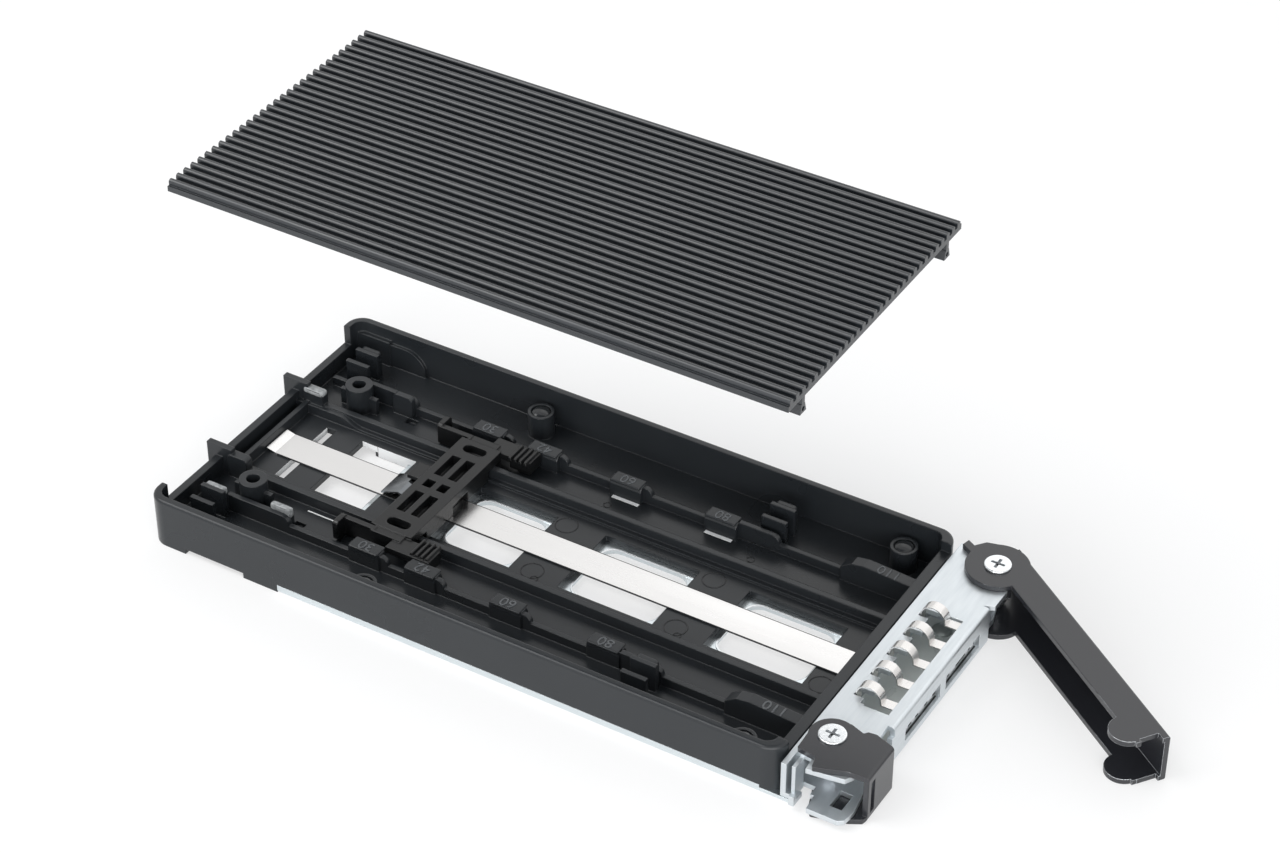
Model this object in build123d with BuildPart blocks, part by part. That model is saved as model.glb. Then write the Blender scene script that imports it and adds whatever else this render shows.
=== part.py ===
"""Tray of a solid state drive mobile rack, in millimetres.

+X runs along the tray from its open rear end to the front bezel, +Y across it, +Z up.
The origin is on the underside of the steel base plate, at the middle of the moulded tray.
The ribbed cover is drawn lifted off the tray, and the eject lever swung open.
"""
import os
from math import cos, radians, sin

from build123d import *

# Moulded tray
tray_l = 130.0
tray_w = 65.8
tray_h = 10.3
wall_t = 1.5
front_wall_t = 2.1
corner_r = 3.5
floor_top = 2.4
front_wall_h = 8.2
rear_wall_h = 6.0
rear_curl_y = 28.4
sheet_t = 1.0
foot_h = 1.1
foot_l = 8.0
notch_l = 12.9
plate_from_rear = 28.4
skirt_h = 1.6
skirt_t = 0.7

# Channel for the drive, and the rails that guide the slider
drive_w = 22.0
channel_gap = 0.3
rib_t = 1.2
rib_h = 4.7
rail_y = 20.5
rail_t = 1.0
rail_h = 4.2
rail_high = 6.0
rail_high_x0 = 8.9
rail_high_x1 = 20.8
step_run = 1.8
tab_y = 20.1
tab_l = 6.6
tab_w = 2.4
tab_h = 5.9
end_tab_l = 14.5
end_tab_h = 7.2
datum_from_rear = 9.1
drive_lengths = (30.0, 42.0, 60.0, 80.0)
ledge_w = 1.0
ledge_h = 0.5
ledge_rear_h = 2.0
ledge_bend = (11.0, 16.4)
fin_l = 5.6
fin_reach = 2.0
fin_h = 8.2
window_w = 16.7
window_spans = ((18.0, 30.2), (44.6, 61.4), (71.6, 91.2), (101.4, 121.0))
slot_from_rear = 9.9
slot_l = 2.1
rim_inset = 0.9
rim_r = 3.0

# Bosses, posts and prongs on the floor
boss_from_rear = (45.2, 121.5)
boss_far_y = 28.0
boss_near_y = -29.9
boss_d = 5.0
boss_top = 7.4
post_from_rear = 11.7
post_y = 16.7
post_d = 5.2
post_bore = 2.6
post_top = 7.9
prong_from_rear = (7.2, 98.2)
prong_l = 5.0
prong_t = 0.9
prong_low = 7.4
prong_high = 8.0
leg_fit = 0.15

# Ribbed cover
cover_from_rear = 9.6
cover_l = 117.9
cover_w = 58.2
cover_plate_t = 1.0
cover_rib_h = 1.0
cover_rib_pitch = 1.94
cover_rib_t = 1.05
leg_y = 24.3
leg_t = 0.9
leg_depth = 3.0
leg_foot_w = 2.0
leg_foot_h = 1.7
leg_bore = 0.8
cover_lift = 68.1
pad_t = 0.5
pad_l = 98.0
pad_w = 20.0

# Slider for the drive's length
slider_from_rear = 36.4
slider_l = 8.6
slider_w = 29.4
slider_top = 6.6
slide_gap = 0.1
arm_y = 16.0
arm_w = 5.0
arm_l = 14.8
arm_t = 1.3
grip_l = 4.4
grip_ridges = 4
hook_h = 7.0
guard_t = 1.0
guard_reach = 5.9
strip_from_rear = 4.4
strip_l = 121.2
strip_w = 6.4
strip_t = 0.3
clip_t = 0.3
clip_l = 6.2
clip_w = 6.2

# Folded bezel
bezel_gap = 0.4
bezel_d = 12.2
bezel_h = 8.43
bezel_w = 65.6
bezel_floor = 1.1
bezel_screw_y = 22.0
bezel_screw_z = 4.8
bezel_screw_d = 1.8
bezel_screw_head_d = 3.6
front_near_y = -16.0
front_far_y = 19.4
bezel_window_l = 12.9
bezel_window_h = 3.0
bezel_window_z = 3.8
near_plate_y = -34.25
finger_pitch = 5.9
finger_count = 5
finger_w = 3.1
finger_r = 2.1
finger_t = 0.25
finger_y0 = 0.16
finger_rise = 2.1
finger_drop = 0.95
fingers_at = 4.9
window_d = 4.8
window_margin = 0.5

# Eject lever and release latch
swing_gap = 0.07
lever_pivot_in = 3.5
lever_open = 54.0
lever_reach = 49.7
lever_web = 5.6
lever_inner = -0.3
lever_head_r = 5.8
lobe_r = 3.2
lobe_at = 45.3
tip_notch = 1.5
tip_prong = 48.9
cam_r = 4.5
cam_at = (4.0, -1.6)
latch_pivot_in_x = 4.6
latch_pivot_in_y = 9.0
latch_web_out = 2.5
latch_near = 6.1
latch_far = 2.6
screw_d = 3.0
screw_head_d = 4.9
screw_head_h = 0.45
screw_core_d = 1.8
screw_l = 5.0
cross_deep = 0.5
post_fit = 0.05
pivot_post_d = 4.2
journal_d = 3.0
latch_head_r = 4.1
spring_wire = 0.5

# Levels and places that follow from the sizes above
rear = -tray_l / 2
front = tray_l / 2
side = tray_w / 2
channel_half = drive_w / 2 + channel_gap
rib_y = channel_half + rib_t / 2
cover_seat = tray_h - cover_rib_h - cover_plate_t
bezel_rear = front + bezel_gap
bezel_front = bezel_rear + bezel_d
bezel_top_under = bezel_h - sheet_t
flange_top = bezel_h + swing_gap + sheet_t
lever_pivot_x = bezel_front - lever_pivot_in
lever_pivot_y = bezel_w / 2 - lever_pivot_in
latch_pivot_x = bezel_rear + latch_pivot_in_x
latch_pivot_y = -bezel_w / 2 + latch_pivot_in_y
latch_web_x = bezel_front + latch_web_out
slider_x0 = rear + slider_from_rear
slider_x1 = slider_x0 + slider_l

os.makedirs("parts", exist_ok=True)


def save(part, name):
    """Label a finished piece and write it to its own file."""
    part.label = name
    export_step(part, f"parts/{name}.step")


def from_rear(distance):
    """X of a place measured from the rear end of the tray."""
    return rear + distance


def span_box(x0, x1, y0, y1, z0, z1, mode=Mode.ADD):
    """Add or cut a block given by its limits."""
    with Locations(((x0 + x1) / 2, (y0 + y1) / 2, (z0 + z1) / 2)):
        Box(x1 - x0, y1 - y0, z1 - z0, mode=mode)


def round_box(x0, x1, y0, y1, z0, z1, radius, mode=Mode.ADD):
    """Add or cut a block with rounded upright corners."""
    with BuildSketch(Plane.XY.offset(z0)) as outline:
        with Locations(((x0 + x1) / 2, (y0 + y1) / 2)):
            RectangleRounded(x1 - x0, y1 - y0, radius)
    extrude(outline.sketch, amount=z1 - z0, mode=mode)


def upright(x, y, diameter, z0, z1, mode=Mode.ADD):
    """Add or cut a round pin that stands on z0."""
    with Locations((x, y, z0)):
        Cylinder(diameter / 2, z1 - z0, align=(Align.CENTER, Align.CENTER, Align.MIN), mode=mode)


def rounded_block(x0, x1, y0, y1, top, radius):
    """Add a block that stands on the tray's floor, with its two ends rounded over."""
    depth = top - floor_top + 1
    with BuildSketch(Plane.XZ.offset(-(y0 + y1) / 2)) as outline:
        with Locations(((x0 + x1) / 2, top - depth / 2)):
            RectangleRounded(x1 - x0, depth, radius)
    extrude(outline.sketch, amount=(y1 - y0) / 2, both=True)


def stepped_wall(x0, x1, run, top, low, y, thickness):
    """Add a wall on the floor that ends in a rounded step down to a lower wall."""
    with BuildSketch(Plane.XZ.offset(-y)) as outline:
        with BuildLine():
            Polyline((x1, top), (x0, top), (x0, floor_top), (x1 + run, floor_top), (x1 + run, low))
            ThreePointArc((x1 + run, low), (x1 + 0.78 * run, top - 0.35 * (top - low)), (x1, top))
        make_face()
    extrude(outline.sketch, amount=thickness / 2, both=True)


# The moulded tray: a shallow shell with open windows, ribs, rails, bosses and prongs
with BuildPart() as tray_body:
    round_box(rear, front, -side, side, 0, tray_h, corner_r)
    fillet(tray_body.edges().group_by(Axis.Z)[-1], 0.6)
    round_box(rear + wall_t, front - front_wall_t, -side + wall_t, side - wall_t,
              floor_top, tray_h + 1, corner_r - wall_t, Mode.SUBTRACT)
    # The rear and front walls are lower than the rim
    span_box(rear - 1, rear + wall_t + corner_r, -rear_curl_y, rear_curl_y,
             rear_wall_h, tray_h + 1, Mode.SUBTRACT)
    span_box(front - front_wall_t - corner_r, front + 1, -side + corner_r, side - corner_r,
             front_wall_h, tray_h + 1, Mode.SUBTRACT)
    # The steel base plate lies in a rebate, and a notch leaves a foot at each side of it
    span_box(from_rear(plate_from_rear), front + 1, -side - 1, side + 1, -1, sheet_t, Mode.SUBTRACT)
    span_box(from_rear(foot_l), from_rear(foot_l + notch_l), -side - 1, side + 1,
             -1, foot_h, Mode.SUBTRACT)
    for sign in (-1, 1):
        edge = sorted((sign * (side - skirt_t), sign * (side + 1)))
        span_box(from_rear(plate_from_rear), front - corner_r, *edge, 0, skirt_h, Mode.SUBTRACT)
    # Ribs beside the drive channel, with fins that reach past the rear wall
    for sign in (-1, 1):
        rib = sorted((sign * channel_half, sign * (channel_half + rib_t)))
        span_box(rear + wall_t, front - front_wall_t, *rib, floor_top, rib_h)
        span_box(rear - fin_reach, rear - fin_reach + fin_l, *rib, floor_top, fin_h)
        head = sorted((sign * (channel_half - 0.3), sign * (channel_half + rib_t + 0.3)))
        rounded_block(from_rear(2.8), from_rear(7.1), *head, 7.3, 0.8)
        rail = sorted((sign * (rail_y - rail_t / 2), sign * (rail_y + rail_t / 2)))
        span_box(from_rear(3), front - front_wall_t, *rail, floor_top, rail_h)
        stepped_wall(from_rear(rail_high_x0), from_rear(rail_high_x1), step_run, rail_high, rail_h,
                     sign * rail_y, rail_t)
    # Ledges inside the channel carry the drive's edges, and rise in an S behind its connector
    for sign in (-1, 1):
        with BuildSketch(Plane.XZ.offset(-sign * (channel_half - ledge_w / 2))):
            with BuildLine():
                bend_x0, bend_x1 = (from_rear(x) for x in ledge_bend)
                Spline((bend_x0, floor_top + ledge_rear_h), (bend_x1, floor_top + ledge_h),
                       tangents=((1, 0), (1, 0)))
                Polyline((bend_x1, floor_top + ledge_h), (front - front_wall_t, floor_top + ledge_h),
                         (front - front_wall_t, floor_top), (rear + wall_t, floor_top),
                         (rear + wall_t, floor_top + ledge_rear_h),
                         (bend_x0, floor_top + ledge_rear_h))
            make_face()
        extrude(amount=ledge_w / 2, both=True)
    # A snap hook stands beside each rail, over a small pocket in the floor
    for sign in (-1, 1):
        hook = sorted((sign * 18.8, sign * 20.0))
        rounded_block(from_rear(17.8), from_rear(22.2), *hook, rail_high + 0.9, 1.0)
        pocket = sorted((sign * 17.2, sign * 18.7))
        span_box(from_rear(21.4), from_rear(23.6), *pocket, floor_top - 0.8, floor_top, Mode.SUBTRACT)
    # A second low wall closes the channel behind the connector opening
    span_box(from_rear(3.2), from_rear(4.2), -channel_half, channel_half, floor_top, rib_h)
    # Raised tabs on the rails, one for each drive length, with bevelled tops
    for length in drive_lengths:
        for sign in (-1, 1):
            with BuildSketch(Plane.YZ.offset(from_rear(datum_from_rear + length) - tab_l / 2)):
                with BuildLine():
                    Polyline((sign * (tab_y - tab_w / 2), floor_top),
                             (sign * (tab_y - tab_w / 2), tab_h - 0.9),
                             (sign * (tab_y - tab_w / 2 + 0.5), tab_h),
                             (sign * (tab_y + tab_w / 2 - 0.5), tab_h),
                             (sign * (tab_y + tab_w / 2), tab_h - 0.9),
                             (sign * (tab_y + tab_w / 2), floor_top), close=True)
                make_face()
            extrude(amount=tab_l)
            tab_end = from_rear(datum_from_rear + length) + tab_l / 2
            stepped_wall(tab_end - 1, tab_end, step_run, tab_h - 0.3, rail_h, sign * rail_y, rail_t)
    # The tabs for the longest drive run on into the front wall
    for sign in (-1, 1):
        with BuildSketch(Plane.XZ.offset(-sign * (tab_y + 0.4))):
            with BuildLine():
                Polyline((front - front_wall_t - end_tab_l, floor_top),
                         (front - front_wall_t - end_tab_l, tab_h - 0.6),
                         (front - front_wall_t - end_tab_l + 2.2, end_tab_h - 0.4),
                         (front - front_wall_t - end_tab_l + 4.6, end_tab_h),
                         (front - front_wall_t, end_tab_h - 0.6),
                         (front - front_wall_t, floor_top), close=True)
            make_face()
        extrude(amount=tab_w / 2, both=True)
    # A ledge and a rounded pad on each side wall by the rear corner
    for sign in (-1, 1):
        wall = side - wall_t
        ledge = sorted((sign * (wall - 1.0), sign * (wall + 0.1)))
        span_box(from_rear(wall_t), from_rear(9.1), *ledge, floor_top, 7.9)
        with BuildSketch(Plane.XZ.offset(-sign * (wall - 0.3))):
            with BuildLine():
                Polyline((from_rear(12.8), 7.4), (from_rear(wall_t), 7.4), (from_rear(wall_t), floor_top),
                         (from_rear(17.0), floor_top), (from_rear(17.0), 4.2))
                ThreePointArc((from_rear(17.0), 4.2), (from_rear(15.6), 6.2), (from_rear(12.8), 7.4))
            make_face()
        extrude(amount=0.4, both=True)
    # Bosses for the base screws, and hollow posts beside the connector
    for x in boss_from_rear:
        for y in (boss_near_y, boss_far_y):
            upright(from_rear(x), y, boss_d, floor_top, boss_top)
            upright(from_rear(x), y, boss_d - 1.2, boss_top - 0.5, boss_top, Mode.SUBTRACT)
            upright(from_rear(x), y, screw_d - 0.8, -1, boss_top, Mode.SUBTRACT)
    for sign in (-1, 1):
        upright(from_rear(post_from_rear), sign * post_y, post_d, floor_top, post_top)
        for wing in (-1, 1):
            with Locations((from_rear(post_from_rear) + wing * (post_d / 2 + 0.5), sign * post_y,
                            (floor_top + boss_top) / 2 - 0.8)):
                Box(2.0, 0.9, boss_top - floor_top - 1.6)
        upright(from_rear(post_from_rear), sign * post_y, post_bore, -1, post_top + 1,
                Mode.SUBTRACT)
    # Pairs of prongs that take the legs of the cover
    for x in prong_from_rear:
        for sign in (-1, 1):
            for hand, top in ((-1, prong_low), (1, prong_high)):
                centre = sign * leg_y + hand * (leg_foot_w / 2 + leg_fit + prong_t / 2)
                span_box(from_rear(x) - prong_l / 2, from_rear(x) + prong_l / 2,
                         centre - prong_t / 2, centre + prong_t / 2, floor_top, top)
            rounded_block(from_rear(x) - prong_l / 2 + 0.4, from_rear(x) + prong_l / 2 - 0.4,
                          centre + prong_t / 2 - 0.1, centre + prong_t / 2 + 1.1,
                          prong_high - 0.2, 0.7)
    # Windows through the floor, and a narrow slot behind the connector
    for x0, x1 in window_spans:
        span_box(from_rear(x0), from_rear(x1), -window_w / 2, window_w / 2, -1, floor_top,
                 Mode.SUBTRACT)
    span_box(from_rear(slot_from_rear), from_rear(slot_from_rear + slot_l),
             -window_w / 2, window_w / 2, -1, floor_top, Mode.SUBTRACT)
    # Holes for the two screws that hold the bezel
    for sign in (-1, 1):
        with Locations(Plane(origin=(front, sign * bezel_screw_y, bezel_screw_z), z_dir=(1, 0, 0))):
            Hole(bezel_screw_d / 2, front_wall_t)
save(tray_body.part, "tray_body")

# The steel base plate: a sheet with turned-up sides, rounded windows and a lipped front corner
with BuildPart() as base_plate:
    plate_x0 = from_rear(plate_from_rear)
    span_box(plate_x0, front, -side, side, 0, sheet_t)
    for sign in (-1, 1):
        skirt = sorted((sign * (side - skirt_t), sign * side))
        span_box(plate_x0, front - corner_r, *skirt, 0, skirt_h)
        lip = sorted((sign * (side - 2.4), sign * side))
        span_box(front, front + 2.6, *lip, 0, sheet_t)
    fillet(base_plate.edges().filter_by(Axis.X).group_by(Axis.Z)[0], 0.5)
    for x0, x1 in window_spans[1:]:
        round_box(from_rear(x0) + rim_inset, from_rear(x1) - rim_inset,
                  -window_w / 2 + rim_inset, window_w / 2 - rim_inset,
                  -1, skirt_h, rim_r, Mode.SUBTRACT)
    for x in boss_from_rear:
        for y in (boss_near_y, boss_far_y):
            with Locations(Plane(origin=(from_rear(x), y, 0), z_dir=(0, 0, -1))):
                CounterSinkHole(screw_d / 2, screw_head_d / 2, sheet_t)
save(base_plate.part, "base_plate")

# The ribbed cover: an extrusion with fine ribs on top and two hollow-footed legs below
cover_x0 = from_rear(cover_from_rear)
rib_count = int((cover_w - cover_rib_t) / cover_rib_pitch) + 1
cover_z = cover_seat + cover_lift
with BuildPart() as heatsink_cover:
    with BuildSketch(Plane.YZ.offset(cover_x0)):
        with Locations((0, cover_z + cover_plate_t / 2)):
            Rectangle(cover_w, cover_plate_t)
        straight = cover_rib_h - cover_rib_t / 2
        with Locations((0, cover_z + cover_plate_t)):
            with GridLocations(cover_rib_pitch, 0, rib_count, 1):
                Rectangle(cover_rib_t, straight, align=(Align.CENTER, Align.MIN))
        with Locations((0, cover_z + cover_plate_t + straight)):
            with GridLocations(cover_rib_pitch, 0, rib_count, 1):
                Circle(cover_rib_t / 2)
        for sign in (-1, 1):
            with Locations((sign * leg_y, cover_z - leg_depth / 2)):
                Rectangle(leg_t, leg_depth)
            with Locations((sign * leg_y, cover_z - leg_depth)):
                Trapezoid(leg_foot_w, leg_foot_h, 75, align=(Align.CENTER, Align.MIN))
            with Locations((sign * leg_y, cover_z - leg_depth + 0.75)):
                Circle(leg_bore / 2, mode=Mode.SUBTRACT)
    extrude(amount=cover_l)
save(heatsink_cover.part, "heatsink_cover")

# A soft heat pad stuck under the cover, over the drive
with BuildPart() as thermal_pad:
    round_box(cover_x0 + 4, cover_x0 + 4 + pad_l, -pad_w / 2, pad_w / 2,
              cover_z - pad_t, cover_z, 1.0)
save(thermal_pad.part, "thermal_pad")

# The slider: a slotted bridge over the ribs with two sprung arms that end in ridged grips
slider_foot = rib_h + slide_gap
with BuildPart() as length_slider:
    span_box(slider_x0, slider_x1, -slider_w / 2, slider_w / 2, slider_foot, slider_top)
    # The middle drops between the ribs and clears the strip
    inner_half = channel_half - ledge_w - channel_gap
    span_box(slider_x0 + 1.0, slider_x1, -inner_half, inner_half,
             floor_top + strip_t + slide_gap, slider_foot)
    span_box(slider_x0 - 3.2, slider_x0, 1.2, 5.4, slider_foot, slider_foot + 0.8)
    span_box(slider_x1 - 1.2, slider_x1, -1.6, 3.4, floor_top, slider_foot + 0.1, Mode.SUBTRACT)
    for sign in (-1, 1):
        for x in (slider_x0 + 2.5, slider_x0 + 5.6):
            with Locations((x, sign * 6.0, slider_top)):
                Box(1.9, 6.4, 2 * (slider_top - slider_foot), mode=Mode.SUBTRACT)
        with BuildSketch(Plane.XY.offset(slider_foot)):
            with Locations(((slider_x0 + slider_x1) / 2, sign * 12.3)):
                SlotOverall(4.8, 2.2)
        extrude(amount=slider_top, mode=Mode.SUBTRACT)
    for x in (slider_x0 + 2.5, slider_x0 + 5.6):
        with Locations((x, 0, slider_top)):
            Box(1.9, 2.2, 2 * (slider_top - slider_foot), mode=Mode.SUBTRACT)
    for sign in (-1, 1):
        # Guide block in the side aisle, then the flat arm and its grip
        guide = sorted((sign * (rib_y + rib_t / 2 + slide_gap), sign * (slider_w / 2 + 1.6)))
        span_box(slider_x0 + 0.8, slider_x1 - 1.2, *guide, floor_top + slide_gap, slider_foot)
        block = sorted((sign * (slider_w / 2 - 1), sign * (slider_w / 2 + 1.6)))
        span_box(slider_x0 + 0.8, slider_x1 - 1.2, *block, slider_foot, slider_top - 0.2)
        arm = sorted((sign * (arm_y - arm_w / 2 + 1.2), sign * (arm_y + arm_w / 2)))
        arm_x1 = slider_x0 + arm_l
        span_box(slider_x1 - 3.0, arm_x1, *arm, slider_foot, slider_foot + arm_t)
        span_box(arm_x1 - grip_l, arm_x1, *arm, floor_top + 1.2, slider_top - 0.6)
        for ridge in range(grip_ridges):
            ridge_x = arm_x1 - grip_l + (ridge + 0.5) * grip_l / grip_ridges
            with BuildSketch(Plane.XZ.offset(-sign * arm_y)):
                with Locations((ridge_x, slider_top - 0.6)):
                    Trapezoid(0.85, 0.7, 70, align=(Align.CENTER, Align.MIN))
            extrude(amount=arm_w / 2 - 0.3, both=True)
        # A guard wall behind the slider ends in an upright plate
        guard = sorted((sign * (slider_w / 2 + 0.4), sign * (slider_w / 2 + 0.4 + guard_t)))
        span_box(slider_x0 - guard_reach, slider_x0 + 1.6, *guard, floor_top + 0.3, hook_h - 0.4)
        plate = sorted((sign * (slider_w / 2 + 0.4), sign * (arm_y + arm_w / 2)))
        with BuildSketch(Plane.YZ.offset(slider_x0 - guard_reach)):
            with Locations(((plate[0] + plate[1]) / 2, (floor_top + 0.3 + hook_h) / 2)):
                RectangleRounded(plate[1] - plate[0], hook_h - floor_top - 0.3, 0.8)
        extrude(amount=guard_t)
save(length_slider.part, "length_slider")

# The drive clip: a folded leaf held in the rear edge of the slider
clip_z = floor_top + strip_t + slide_gap
with BuildPart() as drive_clip:
    with BuildSketch(Plane.XZ.offset(-clip_w / 2)):
        with BuildLine():
            Polyline((slider_x0 + 0.98, clip_z + 1.4), (slider_x0 - 1.0, clip_z + 1.4),
                     (slider_x0 - 2.4, clip_z + 1.7), (slider_x0 - clip_l, clip_z + 0.3))
        trace(line_width=clip_t)
    extrude(amount=clip_w)
save(drive_clip.part, "drive_clip")

# The bright strip along the floor of the channel, with a bent rear end
with BuildPart() as support_strip:
    span_box(from_rear(strip_from_rear + 1.8), from_rear(strip_from_rear + strip_l),
             -strip_w / 2, strip_w / 2, floor_top, floor_top + strip_t)
    with BuildSketch(Plane.XZ.offset(strip_w / 2)):
        with BuildLine():
            Polyline((from_rear(strip_from_rear), floor_top + 0.45),
                     (from_rear(strip_from_rear), floor_top + 0.45 + strip_t),
                     (from_rear(strip_from_rear + 1.9), floor_top + strip_t),
                     (from_rear(strip_from_rear + 1.9), floor_top), close=True)
        make_face()
    extrude(amount=-strip_w)
save(support_strip.part, "support_strip")

# The bezel: one folded sheet with a rear wall, two shelves and a windowed front
with BuildPart() as bezel_shell:
    with BuildSketch(Plane.XZ.offset(-front_far_y)):
        with BuildLine():
            Polyline((bezel_rear, bezel_floor), (bezel_rear, bezel_h), (bezel_front, bezel_h),
                     (bezel_front, bezel_floor), (bezel_front - sheet_t, bezel_floor),
                     (bezel_front - sheet_t, bezel_top_under),
                     (bezel_rear + sheet_t, bezel_top_under),
                     (bezel_rear + sheet_t, bezel_floor), close=True)
        make_face()
    extrude(amount=front_far_y - front_near_y)
    fillet(bezel_shell.edges().filter_by(Axis.Y).sort_by(Axis.X)[-3:].sort_by(Axis.Z)[-1], 0.8)
    span_box(bezel_rear, bezel_rear + sheet_t, -bezel_w / 2, bezel_w / 2, bezel_floor, bezel_h)
    # Upper shelf: wide at the near end for the latch, stepped at the far end for the lever
    with BuildSketch(Plane.XY.offset(bezel_top_under)):
        with BuildLine():
            Polyline((bezel_rear, -29.2), (bezel_rear + 3.9, -29.2), (bezel_rear + 4.1, -32.0),
                     (bezel_rear + 7.2, -31.6), (bezel_front - 1.4, -31.0), (bezel_front - 0.5, -29.4),
                     (bezel_front - 1.4, front_near_y), (bezel_front - 1.4, front_far_y),
                     (bezel_front + 0.5, 20.4), (bezel_front + 0.5, 24.8),
                     (bezel_front - 1.4, 30.4), (bezel_front - 4.5, bezel_w / 2),
                     (bezel_rear, bezel_w / 2), close=True)
        make_face()
    extrude(amount=sheet_t)
    # Lower shelf
    with BuildSketch(Plane.XY.offset(bezel_floor)):
        with BuildLine():
            Polyline((bezel_rear, -bezel_w / 2), (bezel_rear + 2.2, -bezel_w / 2),
                     (bezel_rear + 2.2, near_plate_y + 0.2), (bezel_rear + 3.2, near_plate_y + 0.2),
                     (bezel_rear + 3.2, -31.0), (bezel_rear + 5.3, -31.0),
                     (bezel_rear + 5.6, near_plate_y), (bezel_front - 0.9, near_plate_y),
                     (bezel_front + 0.1, near_plate_y + 0.7), (bezel_front + 0.5, -30.8),
                     (bezel_front - 0.1, -27.0), (bezel_front - 1.2, front_near_y),
                     (bezel_front - 1.2, front_far_y), (bezel_front - 1.2, 24.0),
                     (bezel_front - 3.0, 30.0), (bezel_rear + 6.0, bezel_w / 2),
                     (bezel_rear, bezel_w / 2), close=True)
        make_face()
    extrude(amount=sheet_t)
    # Windows in the front
    window_step = bezel_window_l + 2.0
    for centre in (-window_step / 2, window_step / 2):
        span_box(bezel_front - sheet_t - 0.5, bezel_front + 0.5,
                 centre + 2.0 - bezel_window_l / 2, centre + 2.0 + bezel_window_l / 2,
                 bezel_window_z - bezel_window_h / 2, bezel_window_z + bezel_window_h / 2,
                 Mode.SUBTRACT)
    # Finger windows through both shelves, with a hook slot behind each finger
    finger_x = bezel_rear + fingers_at
    for index in range(finger_count):
        y = finger_y0 + (index - (finger_count - 1) / 2) * finger_pitch
        for z0 in (bezel_floor - 0.1, bezel_top_under - 0.1):
            span_box(finger_x - finger_r - 0.5, finger_x + 0.5, y - finger_w / 2 - 0.2,
                     y + finger_w / 2 + 0.2, z0, z0 + sheet_t + 0.2, Mode.SUBTRACT)
    window_half = (finger_count - 1) / 2 * finger_pitch + finger_w / 2
    for z0 in (bezel_floor - 0.1, bezel_top_under - 0.1):
        span_box(finger_x + 0.1, finger_x + window_d, finger_y0 - window_half - window_margin,
                 finger_y0 + window_half + window_margin, z0, z0 + sheet_t + 0.2, Mode.SUBTRACT)
    # Holes for the pivot screws, the slot beside the latch and the notch in the lower shelf
    for x, y in ((lever_pivot_x, lever_pivot_y), (latch_pivot_x, latch_pivot_y)):
        upright(x, y, journal_d + 2 * post_fit, bezel_floor - 1, bezel_h + 1, Mode.SUBTRACT)
    span_box(bezel_rear + 8.6, bezel_rear + 10.85, -31.65, -27.65, 0, bezel_floor + sheet_t + 0.2,
             Mode.SUBTRACT)
    span_box(bezel_rear + 2.3, bezel_rear + 4.6, -bezel_w / 2 + 1.6, -bezel_w / 2 + 3.8,
             0, bezel_floor + sheet_t + 0.2, Mode.SUBTRACT)
    # A flap bent up out of the notch stops the latch, and a lip turns up at the shelf's rear corner
    span_box(bezel_rear + 1.7, bezel_rear + 2.4, -32.2, -29.2, bezel_floor, 7.9)
    span_box(bezel_rear + 2.2, bezel_rear + 3.2, near_plate_y + 0.2, near_plate_y + 0.8,
             bezel_floor, bezel_floor + 1.9)
    # The front's near end runs on as a narrow tab below a bend relief
    span_box(bezel_front - sheet_t, bezel_front, front_near_y - 0.9, front_near_y, bezel_floor, 6.6)
    for sign in (-1, 1):
        with Locations(Plane(origin=(bezel_rear + sheet_t, sign * bezel_screw_y, bezel_screw_z),
                             z_dir=(1, 0, 0))):
            Hole(bezel_screw_d / 2 + post_fit, sheet_t)
save(bezel_shell.part, "bezel_shell")


def finger_strip(shelf_face, up, bulge):
    """Draw a strip of arched spring fingers inside a shelf whose outer face is shelf_face."""
    inside = shelf_face - up * (sheet_t + finger_t / 2)
    flat = sorted((inside - finger_t / 2, inside + finger_t / 2))
    span_box(bezel_rear + sheet_t + 0.1, finger_x - finger_r, finger_y0 - window_half,
             finger_y0 + window_half, *flat)
    span_box(finger_x + window_d - 0.2, bezel_front - sheet_t - 0.4, finger_y0 - window_half,
             finger_y0 + window_half, *flat)
    for finger in range(finger_count):
        y = finger_y0 + (finger - (finger_count - 1) / 2) * finger_pitch
        with BuildSketch(Plane.XZ.offset(-y - finger_w / 2)) as leaf:
            with BuildLine():
                Line((finger_x - finger_r - 0.6, inside), (finger_x - finger_r, inside))
                ThreePointArc((finger_x - finger_r, inside), (finger_x, shelf_face + up * bulge),
                              (finger_x + finger_r, inside))
                Line((finger_x + finger_r, inside), (finger_x + window_d, inside))
            trace(line_width=finger_t)
        extrude(leaf.sketch, amount=finger_w)


with BuildPart() as spring_fingers_top:
    finger_strip(bezel_h, 1, finger_rise)
save(spring_fingers_top.part, "spring_fingers_top")

with BuildPart() as spring_fingers_bottom:
    finger_strip(bezel_floor, -1, finger_drop)
save(spring_fingers_bottom.part, "spring_fingers_bottom")

# The eject lever: a U channel with round heads on its pivot, tip lobes and a hook by the head
lever_turn = lever_open - 90
lever_dir = (cos(radians(lever_turn)), sin(radians(lever_turn)), 0)


def lever_plane(z):
    """A plane at height z on the pivot, with X along the lever and Y towards its web."""
    return Plane(origin=(lever_pivot_x, lever_pivot_y, z), x_dir=lever_dir, z_dir=(0, 0, 1))


def across_lever(edge):
    """Distance of an edge from the pivot, measured across the lever towards its web."""
    centre = edge.center() - Vector(lever_pivot_x, lever_pivot_y, 0)
    return centre.dot(Vector(-lever_dir[1], lever_dir[0], 0))


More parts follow.
